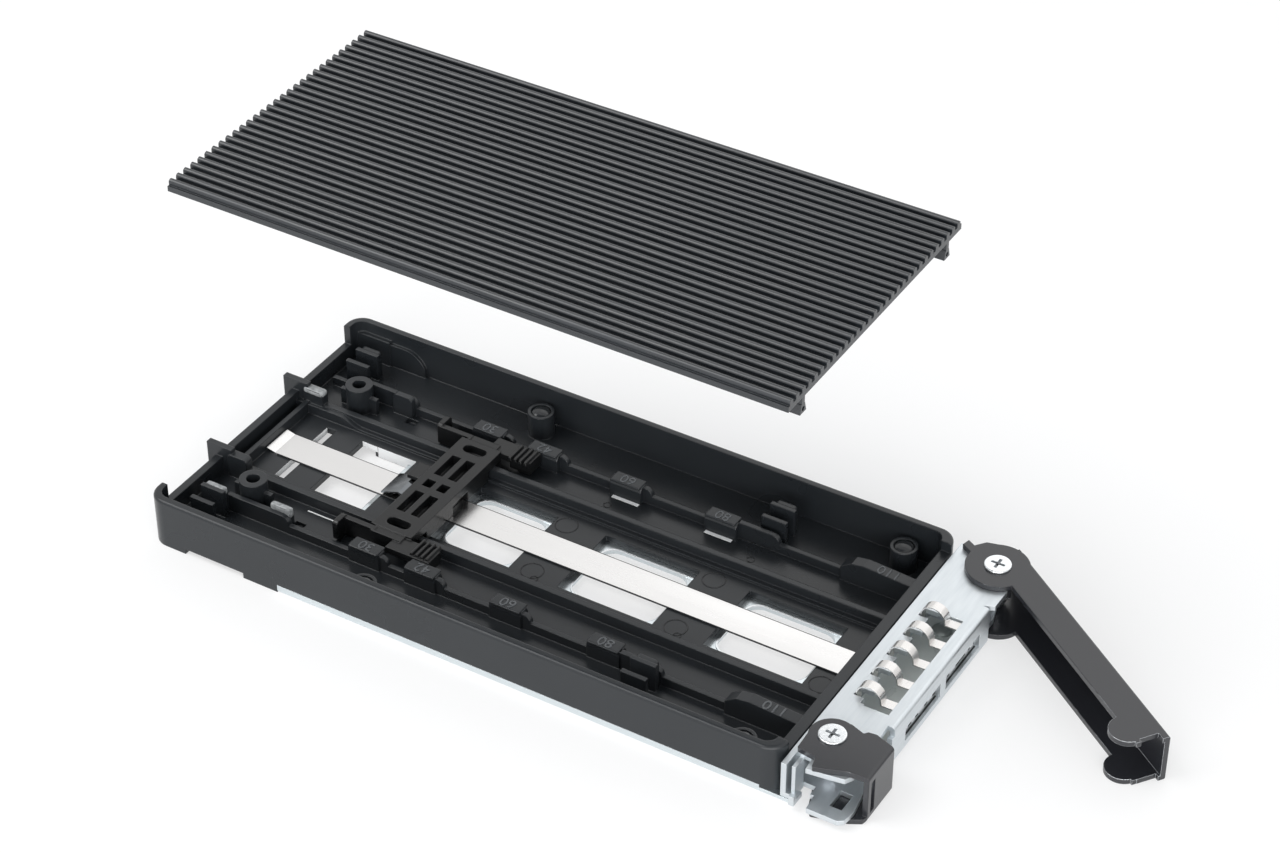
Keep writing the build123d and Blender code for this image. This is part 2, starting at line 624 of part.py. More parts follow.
def lever_flange(z, hooked):
    """Draw one flange of the lever, a sheet thick, from z up."""
    with BuildSketch(lever_plane(z)) as flange:
        Circle(lever_head_r)
        with Locations((lever_reach / 2 - 1.2, (lever_web + lever_inner) / 2)):
            Rectangle(lever_reach + 2.4, lever_web - lever_inner)
        with Locations((lobe_at, lever_inner + 0.3)):
            Circle(lobe_r)
        if hooked:
            with BuildLine():
                Polyline((-4.6, 3.4), (-6.4, 1.2), (-6.5, -1.2), (-8.2, -1.4), (-7.6, -2.9),
                         (-5.4, -2.6), (-3.0, -3.0), (0, 0), close=True)
            make_face()
        if not hooked:
            with Locations(cam_at):
                Circle(cam_r)
        notch = tip_notch if hooked else tip_notch / 2
        with Locations((lever_reach, 2.4)):
            Rectangle(2 * notch, 3.6, mode=Mode.SUBTRACT)
        with Locations((lever_reach, 0.0)):
            Rectangle(2 * (lever_reach - tip_prong), 1.2, mode=Mode.SUBTRACT)
        Circle(journal_d / 2 + post_fit, mode=Mode.SUBTRACT)
    extrude(flange.sketch, amount=sheet_t)


with BuildPart() as eject_lever:
    lever_flange(0, False)
    lever_flange(flange_top - sheet_t, True)
    with BuildSketch(lever_plane(0)) as web:
        with Locations(((lever_reach - 2.4) / 2, lever_web - sheet_t / 2)):
            Rectangle(lever_reach + 2.4, sheet_t)
    extrude(web.sketch, amount=flange_top)
    long_edges = eject_lever.edges().filter_by(lambda e: e.length > lever_reach / 2)
    fillet(long_edges.filter_by(lambda e: across_lever(e) > lever_web - 0.1), 0.35)
save(eject_lever.part, "eject_lever")

# The release latch: a short U on its own pivot, with a slotted front face
latch_front_edge = latch_web_x - latch_pivot_x


def latch_flange(z, outline):
    """Draw one flange of the latch from an outline given from its pivot."""
    with BuildSketch(Plane(origin=(latch_pivot_x, latch_pivot_y, z))) as flange:
        with BuildLine():
            Polyline(*outline, close=True)
        make_face()
        fillet(flange.vertices(), 0.3)
        Circle(latch_head_r)
        Circle(journal_d / 2 + post_fit, mode=Mode.SUBTRACT)
    extrude(flange.sketch, amount=sheet_t)


with BuildPart() as latch:
    latch_flange(0, ((-1.6, -2.6), (0.6, -8.9), (1.5, -9.9), (7.6, -8.2), (9.7, -7.0),
                     (latch_front_edge, -latch_near), (latch_front_edge, latch_far),
                     (5.0, 2.8), (1.0, latch_head_r - 0.2)))
    latch_flange(flange_top - sheet_t,
                 ((-3.6, -5.4), (0.1, -5.9), (0.6, -8.3), (3.2, -7.5), (5.8, -6.4),
                  (latch_front_edge, -latch_near), (latch_front_edge, latch_far),
                  (7.6, 3.4), (6.2, 3.9), (4.7, 3.7), (4.2, 3.0), (1.4, latch_head_r - 0.1),
                  (-3.9, 0.6)))
    latch_near_y = latch_pivot_y - latch_near
    span_box(latch_web_x - sheet_t, latch_web_x, latch_near_y, latch_pivot_y + latch_far, 0,
             flange_top)
    fillet(latch.edges().filter_by(Axis.Y).sort_by(Axis.X)[-2:], 0.6)
    span_box(latch_web_x - sheet_t - 0.1, latch_web_x + 0.1, latch_near_y + 0.9,
             latch_near_y + 2.2, 1.3, flange_top - 1.5, Mode.SUBTRACT)
save(latch.part, "latch")


def turned_post(x, y, name):
    """Make a turned pivot post that stands between the shelves and carries two flanges."""
    with BuildPart() as post:
        upright(x, y, pivot_post_d, bezel_floor + sheet_t, bezel_top_under)
        upright(x, y, journal_d, 0.05, flange_top + post_fit)
        upright(x, y, screw_core_d, flange_top - screw_l, flange_top + 1, Mode.SUBTRACT)
    save(post.part, name)


def pivot_screw(x, y, name):
    """Make a low-headed pivot screw with a cross recess."""
    seat = flange_top + post_fit
    with BuildPart() as screw:
        upright(x, y, screw_core_d, flange_top - screw_l + 0.3, seat)
        upright(x, y, screw_head_d, seat, seat + screw_head_h)
        fillet(screw.edges().group_by(Axis.Z)[-1], 0.25)
        for across, along in ((0.55, 2.6), (2.6, 0.55)):
            with Locations((x, y, seat + screw_head_h)):
                Box(across, along, 2 * cross_deep, mode=Mode.SUBTRACT)
    save(screw.part, name)


def torsion_spring(x, y, z0, turns, name):
    """Make a coil spring round a post."""
    radius = pivot_post_d / 2 + 0.15 + spring_wire / 2
    height = turns * spring_wire * 1.15
    with BuildPart() as spring:
        with BuildLine(Plane(origin=(x, y, z0))) as coil:
            Helix(pitch=spring_wire * 1.15, height=height, radius=radius)
        with BuildSketch(Plane(origin=coil.line @ 0, z_dir=coil.line % 0)):
            Circle(spring_wire / 2)
        sweep(path=coil.line)
    save(spring.part, name)


turned_post(lever_pivot_x, lever_pivot_y, "lever_pivot_post")
turned_post(latch_pivot_x, latch_pivot_y, "latch_pivot_post")
pivot_screw(lever_pivot_x, lever_pivot_y, "lever_screw")
pivot_screw(latch_pivot_x, latch_pivot_y, "latch_screw")
torsion_spring(lever_pivot_x, lever_pivot_y, 3.0, 4, "lever_spring")
torsion_spring(latch_pivot_x, latch_pivot_y, 3.0, 4, "latch_spring")

# Four countersunk screws hold the base plate to the bosses; their tips show in the boss tops
with BuildPart() as base_screws:
    for x in boss_from_rear:
        for y in (boss_near_y, boss_far_y):
            upright(from_rear(x), y, screw_d - 0.86, 0.06, boss_top - 0.1)
            with Locations((from_rear(x), y, 0.06)):
                Cone(screw_head_d / 2 - 0.1, 1.0, 0.85,
                     align=(Align.CENTER, Align.CENTER, Align.MIN))
            with Locations((from_rear(x), y, 0.06)):
                Box(0.5, 2.2, 0.7, mode=Mode.SUBTRACT)
                Box(2.2, 0.5, 0.7, mode=Mode.SUBTRACT)
save(base_screws.part, "base_screws")

# Two screws hold the rear wall of the bezel to the front wall of the tray
with BuildPart() as bezel_screws:
    for sign in (-1, 1):
        seat = Plane(origin=(bezel_rear + sheet_t, sign * bezel_screw_y, bezel_screw_z),
                     z_dir=(1, 0, 0))
        with BuildSketch(seat):
            Circle(bezel_screw_head_d / 2)
        extrude(amount=0.9)
        with BuildSketch(seat):
            Circle(bezel_screw_d / 2 - post_fit)
        extrude(amount=-(sheet_t + bezel_gap + front_wall_t - 0.3))
        for across, along in ((0.4, 2.0), (2.0, 0.4)):
            with Locations((bezel_rear + sheet_t + 0.9, sign * bezel_screw_y, bezel_screw_z)):
                Box(0.8, across, along, mode=Mode.SUBTRACT)
save(bezel_screws.part, "bezel_screws")
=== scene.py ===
# %% [markdown]
# A drive tray for a mobile rack: a moulded black tray with a folded steel bezel, an eject lever and a
# latch at its front, and a ribbed heat-sink cover lifted off it. The exact solids come from the packed
# CAD model. This lesson gives them their finishes, and adds the small moulded and pressed details that
# are too fine for the solids.

from math import cos, pi, radians, sin

import bmesh
import bpy
from mathutils import Matrix, Vector


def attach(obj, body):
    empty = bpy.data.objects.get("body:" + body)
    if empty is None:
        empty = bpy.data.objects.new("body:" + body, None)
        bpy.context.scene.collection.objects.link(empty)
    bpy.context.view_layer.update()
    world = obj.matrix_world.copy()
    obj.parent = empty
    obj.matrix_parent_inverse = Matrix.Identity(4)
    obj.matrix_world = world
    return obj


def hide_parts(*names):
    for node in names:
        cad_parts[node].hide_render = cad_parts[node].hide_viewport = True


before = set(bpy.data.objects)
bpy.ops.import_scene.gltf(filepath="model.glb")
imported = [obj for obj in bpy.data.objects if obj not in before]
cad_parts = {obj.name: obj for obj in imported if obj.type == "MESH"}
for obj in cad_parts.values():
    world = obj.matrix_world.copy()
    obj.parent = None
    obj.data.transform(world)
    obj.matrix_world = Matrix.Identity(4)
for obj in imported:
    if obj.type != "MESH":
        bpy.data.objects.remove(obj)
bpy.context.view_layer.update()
MM = 0.001
print("nodes:", sorted(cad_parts))

# %% [markdown]
# The camera stands where a long lens stood for the product picture: about 58 cm away, a little to the
# right of the tray's near side, looking down at 37 degrees. A long lens keeps the far wall almost as
# large as the near one, so its focal length matters as much as its place.

# %% Camera
AZIMUTH = radians(31.137)
ELEVATION = radians(37.49)
LENS_MM = 89.99
CAMERA_PLACE = Vector((242.35, -370.16, 369.10)) * MM

camera_data = bpy.data.cameras.new("studio_camera")
camera_data.sensor_width = 36.0
camera_data.lens = LENS_MM
camera_data.clip_start = 0.01
camera_data.clip_end = 50.0
camera = bpy.data.objects.new("studio_camera", camera_data)
bpy.context.scene.collection.objects.link(camera)
towards_camera = Vector((sin(AZIMUTH) * cos(ELEVATION), -cos(AZIMUTH) * cos(ELEVATION), sin(ELEVATION)))
camera.location = CAMERA_PLACE
camera.rotation_mode = "QUATERNION"
camera.rotation_quaternion = (-towards_camera).to_track_quat("-Z", "Y")
bpy.context.scene.camera = camera
print("camera at", [round(v, 4) for v in camera.location])

# %% [markdown]
# Two helpers serve every finish. A colour is written as the hex value a picture editor shows, and is
# turned to the linear numbers that the renderer wants. A node is added with its settings and its links
# in one call, so that a finish reads as a short list.

# %% Colour and node helpers


def linear(hex_colour):
    """Turn an sRGB hex colour such as "d4dbdf" to a linear RGBA tuple."""
    channels = [int(hex_colour[i:i + 2], 16) / 255 for i in (0, 2, 4)]
    return tuple(c / 12.92 if c <= 0.04045 else ((c + 0.055) / 1.055) ** 2.4 for c in channels) + (1.0,)


def add_node(tree, kind, sockets=None, **settings):
    """Add a node, set its properties, then fill its sockets with values or links."""
    made = tree.nodes.new(kind)
    for name, value in settings.items():
        setattr(made, name, value)
    for name, value in (sockets or {}).items():
        if isinstance(value, bpy.types.NodeSocket):
            tree.links.new(value, made.inputs[name])
        else:
            made.inputs[name].default_value = value
    return made


def start_finish(name, sockets):
    """Make a material with one Principled shader, and return it with its tree and shader."""
    material = bpy.data.materials.new(name)
    material.use_nodes = True
    tree = material.node_tree
    tree.nodes.clear()
    shader = add_node(tree, "ShaderNodeBsdfPrincipled", sockets)
    add_node(tree, "ShaderNodeOutputMaterial", {"Surface": shader.outputs["BSDF"]})
    return material, tree, shader


def object_place(tree, stretch=(1.0, 1.0, 1.0)):
    """Give Object coordinates, stretched along the axes where a pattern has a direction."""
    place = add_node(tree, "ShaderNodeTexCoord")
    mapping = add_node(tree, "ShaderNodeMapping", {"Vector": place.outputs["Object"], "Scale": stretch})
    return mapping.outputs["Vector"]


# %% [markdown]
# Every real edge has a small radius, and a satin part shows it as a thin bright line. The solids have
# sharp edges, so a Bevel node rounds the shading there. Comparing its normal with the face's own also
# tells where the edges are, which is where a coating wears first.

# %% Edge helpers


def rounded_normal(tree, radius_mm):
    """Shade edges as if they had this radius."""
    return add_node(tree, "ShaderNodeBevel", {"Radius": radius_mm * MM}, samples=6).outputs["Normal"]


def edge_mask(tree, radius_mm, low, high):
    """Give a value that is 1 on edges and 0 on flat faces."""
    rounded = rounded_normal(tree, radius_mm)
    face = add_node(tree, "ShaderNodeNewGeometry")
    agree = add_node(tree, "ShaderNodeVectorMath", operation="DOT_PRODUCT")
    tree.links.new(rounded, agree.inputs[0])
    tree.links.new(face.outputs["Normal"], agree.inputs[1])
    span = add_node(tree, "ShaderNodeMapRange", {"Value": agree.outputs["Value"], "From Min": high,
                                                 "From Max": low, "To Min": 0.0, "To Max": 1.0})
    return span.outputs["Result"]


# %% [markdown]
# The tray and its slider are injection-moulded ABS with carbon black in it. Its surface is a fine
# spark-eroded texture: satin, with a soft grey sheen where it faces the light. The grain is about
# 0.12 mm on the real part, and is drawn at 0.3 mm so that it still shows. The walls also have a
# slow unevenness, a few centimetres long, from the way the melt cooled.

# %% Moulded ABS


def moulded_abs(name, base, lighter, roughness, grain_mm=0.3, cloud_scale=45.0):
    """Satin black ABS with a fine moulded grain."""
    material, tree, shader = start_finish(name, {"IOR": 1.5, "Specular IOR Level": 0.42})
    place = object_place(tree)
    cloud = add_node(tree, "ShaderNodeTexNoise", {"Vector": place, "Scale": cloud_scale, "Detail": 3.0})
    tone = add_node(tree, "ShaderNodeMix", {"Factor": cloud.outputs["Fac"]}, data_type="RGBA")
    tone.inputs["A"].default_value = linear(base)
    tone.inputs["B"].default_value = linear(lighter)
    tree.links.new(tone.outputs["Result"], shader.inputs["Base Color"])
    grain = add_node(tree, "ShaderNodeTexNoise", {"Vector": place, "Scale": 1 / (grain_mm * MM),
                                                  "Detail": 2.0, "Roughness": 0.6})
    gloss = add_node(tree, "ShaderNodeMapRange", {"Value": cloud.outputs["Fac"], "From Min": 0.3,
                                                  "From Max": 0.7, "To Min": roughness - 0.05,
                                                  "To Max": roughness + 0.07})
    tree.links.new(gloss.outputs["Result"], shader.inputs["Roughness"])
    relief = add_node(tree, "ShaderNodeBump", {"Height": grain.outputs["Fac"], "Strength": 0.15,
                                               "Distance": 0.05 * MM,
                                               "Normal": rounded_normal(tree, 0.32)})
    tree.links.new(relief.outputs["Normal"], shader.inputs["Normal"])
    return material


tray_abs = moulded_abs("moulded_abs_tray", "1e2124", "26292c", 0.29)
slider_abs = moulded_abs("moulded_abs_slider", "101112", "161718", 0.29)
polished_abs = moulded_abs("moulded_abs_polished", "1f2123", "2c2e30", 0.12, 0.8)
# The numerals' lighter grey is painted highlight for the light their raised edges catch.
numeral_painted_highlight = moulded_abs("moulded_abs_numeral_painted_highlight", "4b4e51", "5c5f62", 0.22, 0.8)
# The lumps' pale mottling is painted highlight: the bright streaks their glossy tops catch.
lump_painted_highlight = moulded_abs("moulded_abs_lump_painted_highlight", "2c2f31", "c3c6c7", 0.12, 0.8, 1100.0)

# %% [markdown]
# The cover is an aluminium extrusion, anodised black. Extruding leaves very fine lines along its
# length, so the roughness and the bump are drawn with a noise stretched along X. The oxide layer is a
# dull black glass on metal: dark when seen face on, and grey where the ribs' crests catch the light.

# %% Anodised aluminium
DIE_LINE_MM = 0.35


def extruded_black():
    """Black anodised extrusion with die lines along its length."""
    material, tree, shader = start_finish("anodised_black_extrusion", {"IOR": 1.62})
    lines = add_node(tree, "ShaderNodeTexNoise",
                     {"Vector": object_place(tree, (0.02, 1.0, 1.0)), "Scale": 1 / (DIE_LINE_MM * MM),
                      "Detail": 3.0})
    tone = add_node(tree, "ShaderNodeMix", {"Factor": lines.outputs["Fac"]}, data_type="RGBA")
    tone.inputs["A"].default_value = linear("121518")
    tone.inputs["B"].default_value = linear("272b30")
    tree.links.new(tone.outputs["Result"], shader.inputs["Base Color"])
    gloss = add_node(tree, "ShaderNodeMapRange", {"Value": lines.outputs["Fac"], "From Min": 0.3,
                                                  "From Max": 0.7, "To Min": 0.24, "To Max": 0.36})
    tree.links.new(gloss.outputs["Result"], shader.inputs["Roughness"])
    relief = add_node(tree, "ShaderNodeBump", {"Height": lines.outputs["Fac"], "Strength": 0.2,
                                               "Distance": 0.04 * MM, "Normal": rounded_normal(tree, 0.12)})
    tree.links.new(relief.outputs["Normal"], shader.inputs["Normal"])
    return material


cover_black = extruded_black()

# %% [markdown]
# The bezel is folded from zinc-plated sheet and the base from galvanised sheet. Both are metals, so
# their colour is that of their reflection: a pale blue grey. Rolling leaves faint long streaks, and
# handling leaves soft cloudy marks a few millimetres across.

# %% Plated sheet


def plated_sheet(name, colour, shade, roughness, streak_mm, stretch, bevel_mm=0.12, relief_share=0.05,
                 metallic=1.0):
    """Rolled and plated steel sheet with faint streaks and clouds."""
    material, tree, shader = start_finish(name, {"Metallic": metallic})
    streaks = add_node(tree, "ShaderNodeTexNoise",
                       {"Vector": object_place(tree, stretch), "Scale": 1 / (streak_mm * MM), "Detail": 4.0})
    clouds = add_node(tree, "ShaderNodeTexNoise",
                      {"Vector": object_place(tree), "Scale": 160.0, "Detail": 3.0})
    blend = add_node(tree, "ShaderNodeMath", operation="MULTIPLY")
    tree.links.new(streaks.outputs["Fac"], blend.inputs[0])
    tree.links.new(clouds.outputs["Fac"], blend.inputs[1])
    tone = add_node(tree, "ShaderNodeMix", {"Factor": blend.outputs["Value"]}, data_type="RGBA")
    tone.inputs["A"].default_value = linear(colour)
    tone.inputs["B"].default_value = linear(shade)
    tree.links.new(tone.outputs["Result"], shader.inputs["Base Color"])
    gloss = add_node(tree, "ShaderNodeMapRange", {"Value": streaks.outputs["Fac"], "From Min": 0.3,
                                                  "From Max": 0.7, "To Min": roughness - 0.06,
                                                  "To Max": roughness + 0.08})
    tree.links.new(gloss.outputs["Result"], shader.inputs["Roughness"])
    relief = add_node(tree, "ShaderNodeBump", {"Height": streaks.outputs["Fac"], "Strength": relief_share,
                                               "Distance": 0.02 * MM,
                                               "Normal": rounded_normal(tree, bevel_mm)})
    tree.links.new(relief.outputs["Normal"], shader.inputs["Normal"])
    return material


bezel_zinc = plated_sheet("zinc_plated_bezel", "d8dde0", "c9d0d5", 0.44, 0.5, (1.0, 0.08, 1.0))
base_galvanised = plated_sheet("galvanised_base", "dde4e7", "d0d8dc", 0.26, 6.0, (0.08, 1.0, 1.0), 0.12, 0.0)
strip_satin = plated_sheet("satin_strip", "e3e2e1", "e0dfde", 0.26, 6.0, (0.1, 1.0, 1.0), 0.05, 0.0)
spring_bright = plated_sheet("bright_spring_steel", "c9cbce", "b9bcc0", 0.13, 3.0, (1.0, 1.0, 1.0), 0.06,
                             0.0)
clip_mirror = plated_sheet("dark_mirror_leaf", "74777a", "5d6063", 0.12, 3.0, (1.0, 1.0, 1.0), 0.08, 0.0)
# A paler copy of the plated sheet: painted highlight on the window beads and the windows' cut edges.
pale_edge_painted_highlight = plated_sheet("pale_edge_painted_highlight", "eceff1", "e2e6e9", 0.3, 3.0, (1.0, 1.0, 1.0), 0.05, 0.0)
finger_nickel = plated_sheet("nickel_plated_spring", "dedcda", "d3d1cf", 0.26, 3.0, (1.0, 0.3, 1.0), 0.05,
                             0.0)
# The lower fingers are the same nickel as the upper ones, drawn darker: painted shade inside the bezel.
finger_painted_shade = plated_sheet("nickel_painted_shade_inside_bezel", "9aa09e", "8a908e", 0.35, 3.0, (1.0, 0.3, 1.0), 0.05,
                             0.0, 0.3)
# A pale, almost matt copy of the plated sheet: painted light for the comb inside the dim bezel.
comb_painted_light = plated_sheet("comb_sheet_painted_light", "e9ecee", "dfe3e5", 0.35, 3.0, (1.0, 1.0, 1.0), 0.05, 0.0, 0.2)
post_turned = plated_sheet("turned_steel", "c3c7cb", "8f959b", 0.28, 0.15, (0.4, 0.4, 3.0), 0.08)
screw_zinc = plated_sheet("white_zinc_screw", "eef1f3", "d6dadd", 0.26, 0.5, (1.0, 1.0, 1.0), 0.12)
blackened_screw = plated_sheet("blackened_screw", "3a3c3f", "26282a", 0.3, 0.4, (1.0, 1.0, 1.0), 0.12)

# %% [markdown]
# The lever and the latch are pressed steel with a black electrocoat. The coat is glossy and even, but it
# thins over the pressed edges, and by the lever's tip fingers have worn it through to the steel. So the
# wear is the product of three masks: where an edge is, a blotchy noise, and how near the tip a place is.

# %% Black electrocoat


def black_coat(name, tip_x_mm, tip_wear):
    """Glossy black coating over steel, worn to bright metal on the edges near the tip."""
    material, tree, shader = start_finish(name, {"Specular IOR Level": 0.66, "IOR": 1.5, "Roughness": 0.27})
    place = add_node(tree, "ShaderNodeTexCoord")
    split = add_node(tree, "ShaderNodeSeparateXYZ", {"Vector": place.outputs["Object"]})
    near_tip = add_node(tree, "ShaderNodeMapRange",
                        {"Value": split.outputs["X"], "From Min": (tip_x_mm - 9) * MM,
                         "From Max": tip_x_mm * MM, "To Min": 0.0, "To Max": tip_wear})
    patches = add_node(tree, "ShaderNodeTexNoise", {"Vector": object_place(tree), "Scale": 520.0,
                                                    "Detail": 4.0, "Roughness": 0.6})
    raised = add_node(tree, "ShaderNodeMath", operation="ADD")
    tree.links.new(patches.outputs["Fac"], raised.inputs[0])
    tree.links.new(near_tip.outputs["Result"], raised.inputs[1])
    rubbed = add_node(tree, "ShaderNodeMath", operation="MULTIPLY")
    tree.links.new(edge_mask(tree, 0.16, 0.9, 0.99), rubbed.inputs[0])
    tree.links.new(raised.outputs["Value"], rubbed.inputs[1])
    worn = add_node(tree, "ShaderNodeMapRange", {"Value": rubbed.outputs["Value"], "From Min": 0.6,
                                                 "From Max": 0.72, "To Min": 0.0, "To Max": 1.0})
    tone = add_node(tree, "ShaderNodeMix", {"Factor": worn.outputs["Result"]}, data_type="RGBA")
    tone.inputs["A"].default_value = linear("26272b")
    tone.inputs["B"].default_value = linear("c9cccf")
    tree.links.new(tone.outputs["Result"], shader.inputs["Base Color"])
    tree.links.new(worn.outputs["Result"], shader.inputs["Metallic"])
    tree.links.new(rounded_normal(tree, 0.2), shader.inputs["Normal"])
    return material


lever_black = black_coat("electrocoat_lever", 108.0, 0.34)
latch_black = black_coat("electrocoat_latch", 200.0, 0.0)

# %% [markdown]
# Under the cover lies a heat pad: a soft grey silicone sheet full of ceramic powder. It is quite matt,
# with small pale specks.

# %% Heat pad


def silicone_pad():
    """Matt grey silicone with pale specks."""
    material, tree, shader = start_finish("silicone_heat_pad", {"Roughness": 0.75, "IOR": 1.42})
    specks = add_node(tree, "ShaderNodeTexNoise", {"Vector": object_place(tree), "Scale": 2500.0,
                                                   "Detail": 2.0})
    tone = add_node(tree, "ShaderNodeMix", {"Factor": specks.outputs["Fac"]}, data_type="RGBA")
    tone.inputs["A"].default_value = linear("8b93a0")
    tone.inputs["B"].default_value = linear("a9b1bd")
    tree.links.new(tone.outputs["Result"], shader.inputs["Base Color"])
    return material


pad_silicone = silicone_pad()

# %% [markdown]
# Each solid of the model gets its finish in its own material slots. Its shape and place stay as they are.

# %% Give each solid its finish
finishes = {
    "tray_body": tray_abs,
    "length_slider": slider_abs,
    "heatsink_cover": cover_black,
    "thermal_pad": pad_silicone,
    "base_plate": base_galvanised,
    "bezel_shell": bezel_zinc,
    "support_strip": strip_satin,
    "drive_clip": clip_mirror,
    "spring_fingers_top": finger_nickel,
    "spring_fingers_bottom": finger_painted_shade,
    "eject_lever": lever_black,
    "latch": latch_black,
    "lever_pivot_post": post_turned,
    "latch_pivot_post": post_turned,
    "lever_screw": screw_zinc,
    "latch_screw": screw_zinc,
    "lever_spring": spring_bright,
    "latch_spring": spring_bright,
    "base_screws": blackened_screw,
    "bezel_screws": screw_zinc,
}
for name, material in finishes.items():
    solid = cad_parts[name]
    if not solid.material_slots:
        solid.data.materials.append(material)
    for slot in solid.material_slots:
        slot.material = material
print("finished nodes:", len(finishes), "of", len(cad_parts))

# %% [markdown]
# New pieces are made in a bmesh, turned into an object at the origin, given a finish, and told which
# body of the model they ride on. All of them are fixed to the tray.

# %% Piece helpers


def link_mesh(name, mesh_data, material, smooth=False):
    """Turn a bmesh into an object with one material."""
    mesh = bpy.data.meshes.new(name)
    mesh_data.to_mesh(mesh)
    mesh_data.free()
    mesh.materials.append(material)
    for face in mesh.polygons:
        face.use_smooth = smooth
    made = bpy.data.objects.new(name, mesh)
    bpy.context.scene.collection.objects.link(made)
    return made


def make_piece(name, mesh_data, material, body="tray", smooth=False):
    """Turn a bmesh into an object that rides on a body."""
    made = link_mesh(name, mesh_data, material, smooth)
    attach(made, body)
    return made


# %% [markdown]
# Small plates, blocks and inlays all start as a cube. The cube is scaled to size, its edges are bevelled
# while it still stands at the origin, and it is moved to its place last, so that every bevel is even.

# %% Rounded block


def rounded_block(size_mm, centre_mm, edge_mm, segments=2):
    """Make a bmesh block of this size with bevelled edges, and move it to its place."""
    block = bmesh.new()
    bmesh.ops.create_cube(block, size=1.0)
    bmesh.ops.scale(block, verts=block.verts, vec=Vector(size_mm) * MM)
    bmesh.ops.bevel(block, geom=list(block.edges), offset=edge_mm * MM, segments=segments, profile=0.5,
                    affect="EDGES", material=-1)
    bmesh.ops.translate(block, verts=block.verts, vec=Vector(centre_mm) * MM)
    return block


# %% [markdown]
# Each tab on the rails ends in a flat number plate that stands a little proud of it. A plate's middle lies
# where a drive of that length ends, measured from the same datum near the tray's rear end.

# %% Number plates
SIDES = (("near", -1), ("far", 1))
LENGTHS = (30, 42, 60, 80)
REAR_X = -65.0
DATUM_X = REAR_X + 9.1
RAIL_Y = 20.1
TAB_TOP = 5.9
PLATE_SIZE = (6.2, 2.9, 0.5)
PLATE_EDGE = 0.22
for side, sign in SIDES:
    for length in LENGTHS:
        plate = rounded_block(PLATE_SIZE, (DATUM_X + length, sign * RAIL_Y, TAB_TOP), PLATE_EDGE)
        make_piece(f"number_plate_{length}_{side}", plate, tray_abs)
print("number plates:", len(SIDES) * len(LENGTHS))

# %% [markdown]
# The numerals give the drive lengths in millimetres and read from the far side of the tray. They stand up a
# tenth of a millimetre, as engraving in a mould gives, and their grey, lighter than the tray's, is painted
# highlight for the light their edges catch. A font's outline gets a small thickness and bevel, is turned to
# a mesh, and only then laid in its place.

# %% Length numerals
NUMERAL_MM = 3.05
NUMERAL_TALL = 0.07
NUMERAL_EDGE = 0.03
END_TAB_X = 57.5
END_TAB_OUT = 0.4
END_TAB_TOP = 6.95
END_TAB_SLOPE = radians(3.5)


def numeral(text, side, place_mm, slope=0.0):
    """Lay one raised numeral on a tab, its foot towards the far side."""
    curve = bpy.data.curves.new("numeral_" + text, "FONT")
    curve.body = text
    curve.size = NUMERAL_MM * MM
    curve.align_x = "CENTER"
    curve.align_y = "CENTER"
    curve.extrude = NUMERAL_TALL * MM
    curve.bevel_depth = NUMERAL_EDGE * MM
    source = bpy.data.objects.new("numeral_source", curve)
    bpy.context.scene.collection.objects.link(source)
    bpy.context.view_layer.update()
    mesh = bpy.data.meshes.new_from_object(source.evaluated_get(bpy.context.evaluated_depsgraph_get()))
    bpy.data.objects.remove(source)
    mesh.transform(Matrix.Translation(Vector(place_mm) * MM) @ Matrix.Rotation(slope, 4, "Y")
                   @ Matrix.Rotation(pi, 4, "Z"))
    mesh.materials.clear()
    mesh.materials.append(numeral_painted_highlight)
    made = bpy.data.objects.new(f"numeral_{text}_{side}", mesh)
    bpy.context.scene.collection.objects.link(made)
    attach(made, "tray")


plate_top = TAB_TOP + PLATE_SIZE[2] / 2
for side, sign in SIDES:
    for length in LENGTHS:
        numeral(str(length), side, (DATUM_X + length, sign * RAIL_Y, plate_top))
    numeral("110", side, (END_TAB_X, sign * (RAIL_Y + END_TAB_OUT), END_TAB_TOP), END_TAB_SLOPE)
print("numerals:", len(SIDES) * (len(LENGTHS) + 1))

# %% [markdown]
# Thin raised lines that close on themselves come up twice: as the rings of the ejector pins, and as the
# beads of the plate's windows. Both start as one flat face. It is inset by the line's width, the face left
# in the middle is deleted, and the rim is raised.

# %% Raised rim


def raise_rim(sheet, width_mm, height_mm):
    """Keep only the rim of a flat face, and give it a height."""
    bmesh.ops.inset_region(sheet, faces=list(sheet.faces), thickness=width_mm * MM, use_boundary=True,
                           use_even_offset=True)
    middle = min(sheet.faces, key=lambda face: face.calc_center_median().length)
    bmesh.ops.delete(sheet, geom=[middle], context="FACES")
    raised = bmesh.ops.extrude_face_region(sheet, geom=list(sheet.faces))
    upper = [item for item in raised["geom"] if isinstance(item, bmesh.types.BMVert)]
    bmesh.ops.translate(sheet, verts=upper, vec=(0, 0, height_mm * MM))
    bmesh.ops.recalc_face_normals(sheet, faces=list(sheet.faces))


# %% [markdown]
# Ejector pins push the moulding out of its mould and leave a faint ring where each one stood. The rings
# are on the lands between the floor windows, and smaller ones lie beside them.

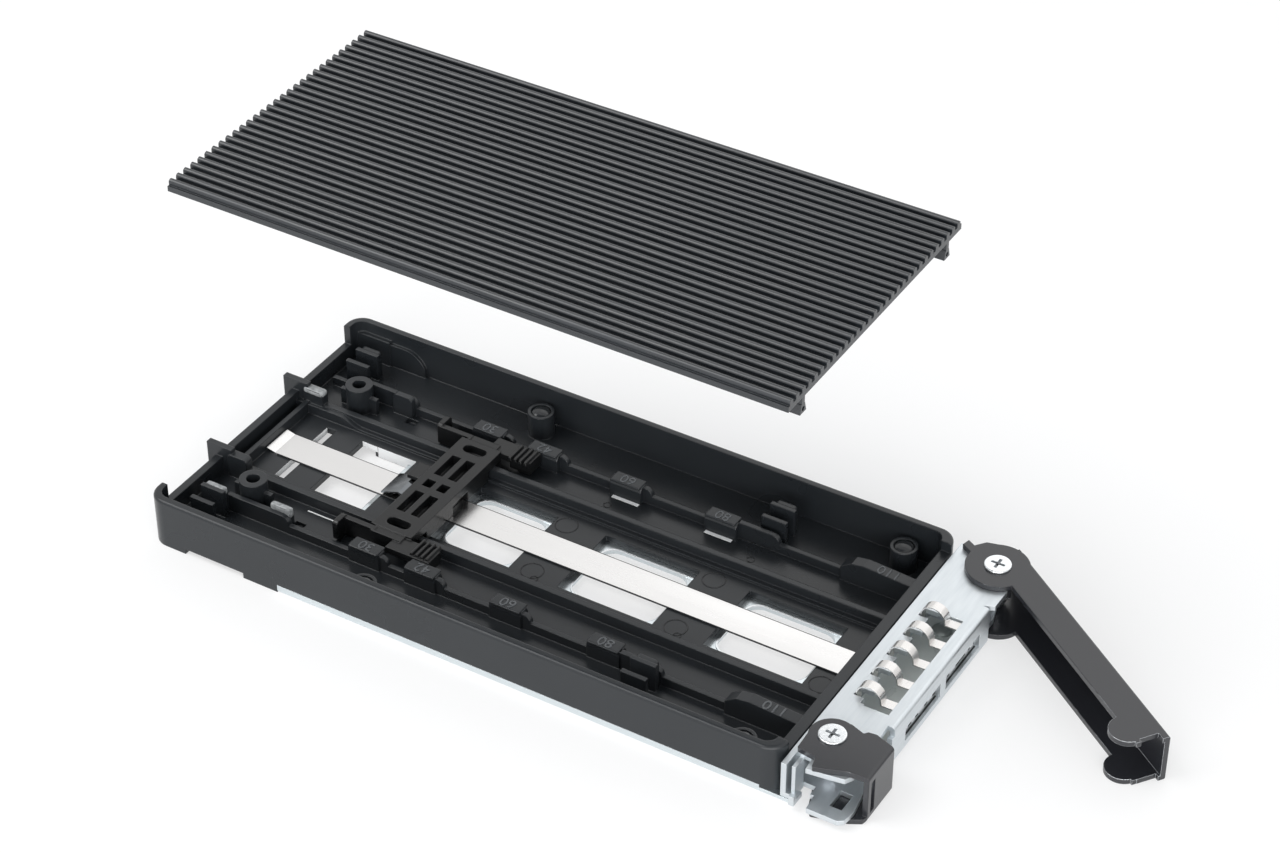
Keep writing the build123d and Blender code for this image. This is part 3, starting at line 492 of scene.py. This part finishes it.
# %% Ejector-pin marks
FLOOR_TOP = 2.4
MARK_SUNK = 0.03
MARK_TALL = 0.09
large_marks = ((0.6, -7.0), (30.2, -7.0), (58.9, -6.9), (-1.0, 7.0), (29.5, 7.5))
small_marks = ((2.0, -8.7), (31.5, -8.7), (2.2, 15.8), (32.3, 15.8))
for kind, places, diameter, width in (("ring", large_marks, 4.4, 0.22), ("dot", small_marks, 1.6, 0.2)):
    for index, (x, y) in enumerate(places):
        mark = bmesh.new()
        bmesh.ops.create_circle(mark, cap_ends=True, segments=40, radius=diameter / 2 * MM)
        raise_rim(mark, width, MARK_TALL)
        bmesh.ops.translate(mark, verts=mark.verts, vec=Vector((x, y, FLOOR_TOP - MARK_SUNK)) * MM)
        make_piece(f"ejector_{kind}_{index + 1}", mark, polished_abs)
print("ejector marks:", len(large_marks) + len(small_marks))

# %% [markdown]
# The screws that hold the base end inside the bosses, and each boss is closed by a glossy black plug with
# a domed top. A sphere is cut in half at its equator and flattened.

# %% Domes on the bosses
BOSSES = ((-19.8, -29.9), (-19.8, 28.0), (56.5, -29.9), (56.5, 28.0))
PLUG_FOOT_Z = 7.1
PLUG_R = 1.75
PLUG_TALL = 0.6


def dome(x, y, z, radius_mm, height_mm):
    """Make the upper half of a flattened sphere."""
    half = bmesh.new()
    bmesh.ops.create_uvsphere(half, u_segments=32, v_segments=16, radius=radius_mm * MM)
    bmesh.ops.bisect_plane(half, geom=list(half.verts) + list(half.edges) + list(half.faces),
                           plane_co=(0, 0, 0), plane_no=(0, 0, 1), clear_inner=True)
    bmesh.ops.contextual_create(half, geom=[e for e in half.edges if e.is_boundary])
    bmesh.ops.scale(half, verts=half.verts, vec=(1, 1, height_mm / radius_mm))
    bmesh.ops.recalc_face_normals(half, faces=list(half.faces))
    bmesh.ops.translate(half, verts=half.verts, vec=Vector((x, y, z)) * MM)
    return half


for index, (x, y) in enumerate(BOSSES):
    plug = dome(x, y, PLUG_FOOT_Z, PLUG_R, PLUG_TALL)
    make_piece(f"boss_plug_{index + 1}", plug, polished_abs, smooth=True)
print("boss plugs:", len(BOSSES))

# %% [markdown]
# A thin folded leaf is made by sweeping one edge across it along its path. These two helpers sweep the
# edge along a straight step, and mark the edges that should stay crisp when the rest is shaded round.

# %% Sweep helpers


def sweep_straight(leaf, edges, step_mm):
    """Sweep an edge along a straight step, and return the edge at its end."""
    swept = bmesh.ops.extrude_edge_only(leaf, edges=edges)["geom"]
    moved = [item for item in swept if isinstance(item, bmesh.types.BMVert)]
    bmesh.ops.translate(leaf, verts=moved, vec=Vector(step_mm) * MM)
    return [item for item in swept if isinstance(item, bmesh.types.BMEdge)]


def keep_crisp(mesh_data, degrees):
    """Mark the edges sharper than this, so that smooth shading stops there."""
    for edge in mesh_data.edges:
        edge.smooth = edge.calc_face_angle(0.0) < radians(degrees)


# %% [markdown]
# Five contact fingers stand up through the bezel's upper shelf. Each comes up behind its slot, goes over
# in a half circle, dips, and runs on flat under the shelf to its front end. The path is one straight step,
# a spin, and four more steps, and the skin is then made a quarter of a millimetre thick.

# %% Contact fingers
FINGER_Y = [-10.85 + 5.9 * index for index in range(5)]
FINGER_W = 1.95
LEG_FOOT_Z = 6.6
ARCH_R = 2.42
ARCH_TURN = radians(172)
ARCH_CENTRE = (70.3, 8.42)
FRONT_RUN = ((0.12, 0, -0.72), (2.2, 0, 0.05), (0.12, 0, -0.75), (1.2, 0, 0))
SHEET = 0.25

fingers = bmesh.new()
for y in FINGER_Y:
    corners = [bmesh.ops.create_vert(fingers, co=Vector((ARCH_CENTRE[0] - ARCH_R, y + side * FINGER_W / 2,
                                                         LEG_FOOT_Z)) * MM)["vert"][0] for side in (-1, 1)]
    edge = bmesh.ops.contextual_create(fingers, geom=corners)["edges"]
    edge = sweep_straight(fingers, edge, (0, 0, ARCH_CENTRE[1] - LEG_FOOT_Z))
    arch = bmesh.ops.spin(fingers, geom=edge, cent=Vector((ARCH_CENTRE[0], 0, ARCH_CENTRE[1])) * MM,
                          axis=(0, 1, 0), angle=ARCH_TURN, steps=18, use_duplicate=False)
    edge = [item for item in arch["geom_last"] if isinstance(item, bmesh.types.BMEdge)]
    for step in FRONT_RUN:
        edge = sweep_straight(fingers, edge, step)
bmesh.ops.recalc_face_normals(fingers, faces=list(fingers.faces))
bmesh.ops.solidify(fingers, geom=list(fingers.faces), thickness=SHEET * MM)
bmesh.ops.recalc_face_normals(fingers, faces=list(fingers.faces))
keep_crisp(fingers, 35)
top_fingers = make_piece("contact_fingers", fingers, finger_nickel, smooth=True)
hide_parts("spring_fingers_top")
print("contact fingers:", len(FINGER_Y))

# %% [markdown]
# Between the fingers the shelf reaches out in short rounded lobes. Each lobe is a block that starts a
# small gap beside its finger.

# %% Lobes of the upper shelf
LOBE_L = 2.3
LOBE_W = 1.55
LOBE_T = 0.98
LOBE_X = 68.5
LOBE_Z = 7.93
LOBE_GAP = 0.2
LOBE_EDGE = 0.12
for index, y in enumerate(FINGER_Y):
    lobe_y = y - FINGER_W / 2 - LOBE_GAP - LOBE_W / 2
    lobe = rounded_block((LOBE_L, LOBE_W, LOBE_T), (LOBE_X, lobe_y, LOBE_Z), LOBE_EDGE)
    make_piece(f"shelf_lobe_{index + 1}", lobe, bezel_zinc)
print("lobes:", len(FINGER_Y))

# %% [markdown]
# Under the fingers lies the flat grey strip that carries them. It shows between their front ends, and a
# round dimple is pressed up in it beside the last finger. The strip is drawn paler and less metallic than
# its nickel, as painted light against the shade inside the bezel, and the dimple is drawn in the darker
# nickel of the lower fingers, as painted shade.

# %% Finger carrier
CARRIER_SIZE = (8.8, 32.3, 0.15)
CARRIER_CENTRE = (70.6, 2.35, 2.5)
carrier_painted_light = plated_sheet("strip_inside_painted_light", "dfe4e1", "d2d8d5", 0.3, 3.0, (1.0, 0.3, 1.0), 0.05, 0.0,
                            0.1)
carrier = rounded_block(CARRIER_SIZE, CARRIER_CENTRE, 0.04)
make_piece("finger_carrier", carrier, carrier_painted_light)
dimple = dome(70.3, 16.0, 2.55, 1.85, 1.1)
make_piece("bezel_dimple", dimple, finger_painted_shade, smooth=True)
print("finger carrier in mm:", CARRIER_SIZE)

# %% [markdown]
# Right behind the bezel's front windows stands the folded comb that holds the fingers' front ends. Its bar
# and teeth are drawn paler than plated metal, as painted light against the dim inside of the bezel. A dark
# sheet
# behind it is painted shade: it gives the gaps between its teeth the darkness of the bezel's inside.

# %% Finger comb behind the front windows
COMB_X = 76.47
COMB_T = 0.08
COMB_Y = 2.1
COMB_W = 27.8
teeth = ((-10.7, -8.7), (-7.4, -6.1), (-4.9, -2.8), (-1.5, 0.2), (5.1, 5.7), (6.7, 9.0), (12.7, 13.7),
         (14.6, 15.7))
inside_painted_shade = start_finish("bezel_inside_painted_shade", {"Base Color": linear("1d1f20"), "Roughness": 0.6})[0]
shade = rounded_block((0.06, COMB_W, 2.3), (76.3, COMB_Y, 3.27), 0.02)
make_piece("finger_comb_shade", shade, inside_painted_shade)
bar = rounded_block((COMB_T, COMB_W, 0.2), (COMB_X, COMB_Y, 2.22), 0.02)
make_piece("finger_comb_bar", bar, comb_painted_light)
for index, (y0, y1) in enumerate(teeth):
    tooth = rounded_block((COMB_T, y1 - y0, 1.2), (COMB_X, (y0 + y1) / 2, 2.74), 0.02)
    make_piece(f"finger_comb_tooth_{index + 1}", tooth, comb_painted_light)
print("comb teeth:", len(teeth))

# %% [markdown]
# The far side of each window is a cut edge, drawn as a thin strip of paler sheet: painted highlight. At its
# foot a dark gap runs between the sheet and the comb, drawn as a dark strip: painted shade.

# %% Edges of the front windows
front_windows = (("near", -11.7, 0.8, 0.97), ("far", 3.2, 15.7, 15.87))
for name, y0, y1, edge_y in front_windows:
    cut_edge_painted_highlight = rounded_block((0.98, 0.06, 2.9), (77.1, edge_y, 3.8), 0.02)
    make_piece(f"window_cut_edge_painted_highlight_{name}", cut_edge_painted_highlight, pale_edge_painted_highlight)
    foot_painted_shade = rounded_block((0.34, y1 - y0, 0.04), (76.84, (y0 + y1) / 2, 2.31), 0.01)
    make_piece(f"window_foot_painted_shade_{name}", foot_painted_shade, inside_painted_shade)
print("front windows:", len(front_windows))

# %% [markdown]
# A cross recess looks dark because light hardly reaches its floor. Here the recess is cut in the solid,
# and a thin dark cross lies on its floor as painted shade.

# %% Cross recesses
SCREWS = (("lever", 74.1, 29.3), ("latch", 70.0, -23.8))
RECESS_Z = 9.56
ARM_L = 2.58
ARM_W = 0.53
ARM_T = 0.16
recess_painted_shade = start_finish("recess_painted_shade_cross", {"Base Color": linear("85888b"), "Metallic": 0.8,
                                              "Roughness": 0.5})[0]
for name, x, y in SCREWS:
    cross = bmesh.new()
    for size in ((ARM_W, ARM_L, ARM_T), (ARM_L, ARM_W, ARM_T)):
        arm = bmesh.ops.create_cube(cross, size=1.0)["verts"]
        bmesh.ops.scale(cross, verts=arm, vec=Vector(size) * MM)
    bmesh.ops.translate(cross, verts=cross.verts, vec=Vector((x, y, RECESS_Z)) * MM)
    make_piece(f"{name}_screw_recess", cross, recess_painted_shade)
print("recesses:", len(SCREWS))

# %% [markdown]
# Three blocks near the tray's rear end are glossy. Their pale mottled colour is painted highlight, for the
# bright streaks that their rounded tops catch. A bevelled block a little larger than the moulded one lies
# over each.

# %% Glossy lumps with painted highlight
LUMP_EDGE = 0.5
glossy_lumps = (("glossy_lump_prong", (4.3, 1.4, 1.6), (-57.8, -21.75, 7.25)),
              ("glossy_lump_hook", (4.6, 1.35, 2.0), (-44.95, -19.42, 6.05)),
              ("glossy_lump_rib", (4.5, 1.95, 1.2), (-60.05, 11.9, 6.85)))
for name, size, centre in glossy_lumps:
    make_piece(name, rounded_block(size, centre, LUMP_EDGE, 4), lump_painted_highlight, smooth=True)
print("gate marks:", len(glossy_lumps))

# %% [markdown]
# Beyond the tab for the longest but one drive each rail stays high for a few millimetres and then runs
# down in a round step. The block's upper front edge gets a wide bevel in six segments.

# %% Rail crests
CREST_X = (26.9, 35.8)
CREST_Y = 20.5
CREST_Z = 4.2
CREST_W = 1.02
CREST_H = 3.4
CREST_R = 1.7
for side, sign in SIDES:
    crest = bmesh.new()
    bmesh.ops.create_cube(crest, size=1.0)
    bmesh.ops.scale(crest, verts=crest.verts, vec=Vector((CREST_X[1] - CREST_X[0], CREST_W, CREST_H)) * MM)
    front_edge = max(crest.edges, key=lambda edge: sum((v.co.x + v.co.z for v in edge.verts)))
    bmesh.ops.bevel(crest, geom=[front_edge], offset=CREST_R * MM, segments=6, profile=0.5, affect="EDGES",
                    material=-1)
    centre = Vector(((CREST_X[0] + CREST_X[1]) / 2, sign * CREST_Y, CREST_Z)) * MM
    bmesh.ops.translate(crest, verts=crest.verts, vec=centre)
    make_piece(f"rail_crest_{side}", crest, tray_abs)
print("rail crests:", len(SIDES))

# %% [markdown]
# A steel pin in the mould leaves a narrow slit in the floor under each overhang. The table is bright below
# it, so from above a slit looks like a pale line, and a thin pale inlay gives the same look. The walls of
# the rear window and of the slot catch the same light, and get a pale skin.

# %% Mould slits and pale walls
slit_pale = start_finish("light_through_slit", {"Base Color": linear("f7f8f8"), "Roughness": 0.8})[0]
slits = (("slit_60_far", 5.6, 0.8, 4.4, 18.55), ("slit_80_far", 5.6, 0.8, 24.0, 18.5),
         ("slit_60_near", 5.6, 0.8, 4.4, -18.55), ("slit_80_near", 5.6, 0.8, 24.0, -18.5),
         ("slit_aisle_near", 5.9, 0.28, -40.6, -13.8), ("slit_aisle_far", 5.9, 0.28, -40.6, 13.8))
for name, length, width, x, y in slits:
    slit = rounded_block((length, width, 0.08), (x, y, FLOOR_TOP + 0.02), 0.03)
    make_piece(name, slit, slit_pale)
linings = (("window_lining_rear", (3.4, 0.06, 1.25), (-45.25, 8.31, 1.75)),
           ("window_lining_front", (8.6, 0.06, 2.3), (-39.15, 8.31, 1.24)),
           ("slot_lining", (0.06, 16.5, 1.25), (-55.06, 0.0, 1.75)))
for name, size, centre in linings:
    make_piece(name, rounded_block(size, centre, 0.02), slit_pale)
print("mould slits:", len(slits), "pale walls:", len(linings))

# %% [markdown]
# The strip was sheared from a coil. The fine dark lines along its two long edges are painted shadow, for the
# thin gap under each edge.

# %% Painted shadow along the strip's edges
STRIP_HALF_W = 3.25
for side, sign in SIDES:
    edge_painted_shadow = rounded_block((118.5, 0.13, 0.34), (1.0, sign * STRIP_HALF_W, 2.56), 0.03)
    make_piece(f"strip_edge_painted_shadow_{side}", edge_painted_shadow, polished_abs)
print("sheared edges:", len(SIDES))

# %% [markdown]
# The base plate's windows have a rolled bead round them, seen through the moulded windows as a bright
# line. Its sheet is drawn paler than the plate's, as painted highlight against the shade of the window
# walls. A flat rectangle gets round corners from a bevel of its four corner points, and its rim is raised.

# %% Beads round the windows
BEAD_W = 0.3
BEAD_H = 0.22
BEAD_FOOT_Z = 0.98
PLATE_WINDOW_W = 14.9
PLATE_WINDOW_R = 2.9
PLATE_WINDOW_MORE = 3.0
moulded_windows = ((-19.5, -4.5), (7.5, 25.3), (37.3, 55.1))
for index, (x0, x1) in enumerate(moulded_windows):
    bead = bmesh.new()
    bmesh.ops.create_grid(bead, x_segments=1, y_segments=1, size=0.5)
    size = Vector((x1 - x0 + PLATE_WINDOW_MORE, PLATE_WINDOW_W, 1.0)) * MM
    bmesh.ops.scale(bead, verts=bead.verts, vec=size)
    bmesh.ops.bevel(bead, geom=list(bead.verts), offset=PLATE_WINDOW_R * MM, segments=6, profile=0.5,
                    affect="VERTICES", material=-1)
    raise_rim(bead, BEAD_W, BEAD_H)
    centre = Vector(((x0 + x1) / 2 + PLATE_WINDOW_MORE / 2, 0, BEAD_FOOT_Z)) * MM
    bmesh.ops.translate(bead, verts=bead.verts, vec=centre)
    make_piece(f"window_bead_{index + 2}", bead, pale_edge_painted_highlight)
print("window beads:", len(moulded_windows))

# %% [markdown]
# The studio has a wide pale floor that keeps the soft shadow. To the camera and to reflections, a little
# over half of the floor's light is a plain white glow, and the rest is an ordinary pale surface that takes
# the shadow. So the floor reads white, also through the tray's windows, and no lamp has to be brighter.

# %% Floor
FLOOR_DROP = 0.05 * MM
FLOOR_HALF = 6.0
FLOOR_GLOW = 0.56
floor_finish, floor_tree, floor_shader = start_finish("pale_floor", {
    "Base Color": linear("fefefe"), "Roughness": 0.9, "Specular IOR Level": 0.1})
floor_ray = add_node(floor_tree, "ShaderNodeLightPath")
floor_seen = add_node(floor_tree, "ShaderNodeMath", operation="MAXIMUM")
floor_tree.links.new(floor_ray.outputs["Is Camera Ray"], floor_seen.inputs[0])
floor_tree.links.new(floor_ray.outputs["Is Glossy Ray"], floor_seen.inputs[1])
glow_share = add_node(floor_tree, "ShaderNodeMath", operation="MULTIPLY")
floor_tree.links.new(floor_seen.outputs["Value"], glow_share.inputs[0])
glow_share.inputs[1].default_value = FLOOR_GLOW
glow = add_node(floor_tree, "ShaderNodeEmission", {"Color": (1.0, 1.0, 1.0, 1.0), "Strength": 1.0})
floor_mix = add_node(floor_tree, "ShaderNodeMixShader", {"Fac": glow_share.outputs["Value"]})
floor_tree.links.new(floor_shader.outputs["BSDF"], floor_mix.inputs[1])
floor_tree.links.new(glow.outputs["Emission"], floor_mix.inputs[2])
floor_out = next(node for node in floor_tree.nodes if node.type == "OUTPUT_MATERIAL")
floor_tree.links.new(floor_mix.outputs["Shader"], floor_out.inputs["Surface"])

floor_data = bmesh.new()
bmesh.ops.create_grid(floor_data, x_segments=1, y_segments=1, size=FLOOR_HALF)
bmesh.ops.translate(floor_data, verts=floor_data.verts, vec=(0, 0, -FLOOR_DROP))
floor = link_mesh("studio_floor", floor_data, floor_finish)
print("floor at", -FLOOR_DROP)

# %% [markdown]
# Round the floor is a white surround that metal can reflect. What the camera and the reflections see of it
# is full white, while the light that it gives to everything else is softer.

# %% Surround
SURROUND_FILL = 0.62
world = bpy.data.worlds.new("studio_surround")
bpy.context.scene.world = world
world.use_nodes = True
surround = world.node_tree
surround.nodes.clear()
ray = add_node(surround, "ShaderNodeLightPath")
seen = add_node(surround, "ShaderNodeMath", operation="MAXIMUM")
surround.links.new(ray.outputs["Is Camera Ray"], seen.inputs[0])
surround.links.new(ray.outputs["Is Glossy Ray"], seen.inputs[1])
fill = add_node(surround, "ShaderNodeBackground", {"Color": linear("f7f9fb"), "Strength": SURROUND_FILL})
shown = add_node(surround, "ShaderNodeBackground", {"Color": linear("fdfdfd"), "Strength": 1.0})
mixed = add_node(surround, "ShaderNodeMixShader", {"Fac": seen.outputs["Value"]})
surround.links.new(fill.outputs["Background"], mixed.inputs[1])
surround.links.new(shown.outputs["Background"], mixed.inputs[2])
add_node(surround, "ShaderNodeOutputWorld", {"Surface": mixed.outputs["Shader"]})
print("surround fill:", SURROUND_FILL)

# %% [markdown]
# Four soft square lamps shape the object: a high one from the left, a wide low one from behind for the
# bright rims, and two low ones that lift the bezel's front and the near wall. Places and sizes are in
# metres, and powers in watts.

# %% Lamps
MIDDLE = (0, 0, 0.02)
lamps = (("key_softbox", (-0.55, -0.35, 0.95), MIDDLE, 0.7, 5.5),
         ("rim_softbox", (0.1, 1.0, 0.6), MIDDLE, 1.3, 2.2),
         ("front_softbox", (0.75, -0.7, 0.3), MIDDLE, 0.6, 5.0),
         ("near_softbox", (0.2, -1.1, 0.22), (0.03, 0, 0.02), 0.6, 5.7))
for name, place, target, size, power in lamps:
    data = bpy.data.lights.new(name, "AREA")
    data.size = size
    data.energy = power
    lamp = bpy.data.objects.new(name, data)
    bpy.context.scene.collection.objects.link(lamp)
    lamp.location = place
    lamp.rotation_mode = "QUATERNION"
    lamp.rotation_quaternion = (Vector(target) - Vector(place)).to_track_quat("-Z", "Y")
print("lamps:", len(lamps))

# %% [markdown]
# The Standard view transform shows the hex colours as they were written.

# %% Colour management
bpy.context.scene.view_settings.view_transform = "Standard"
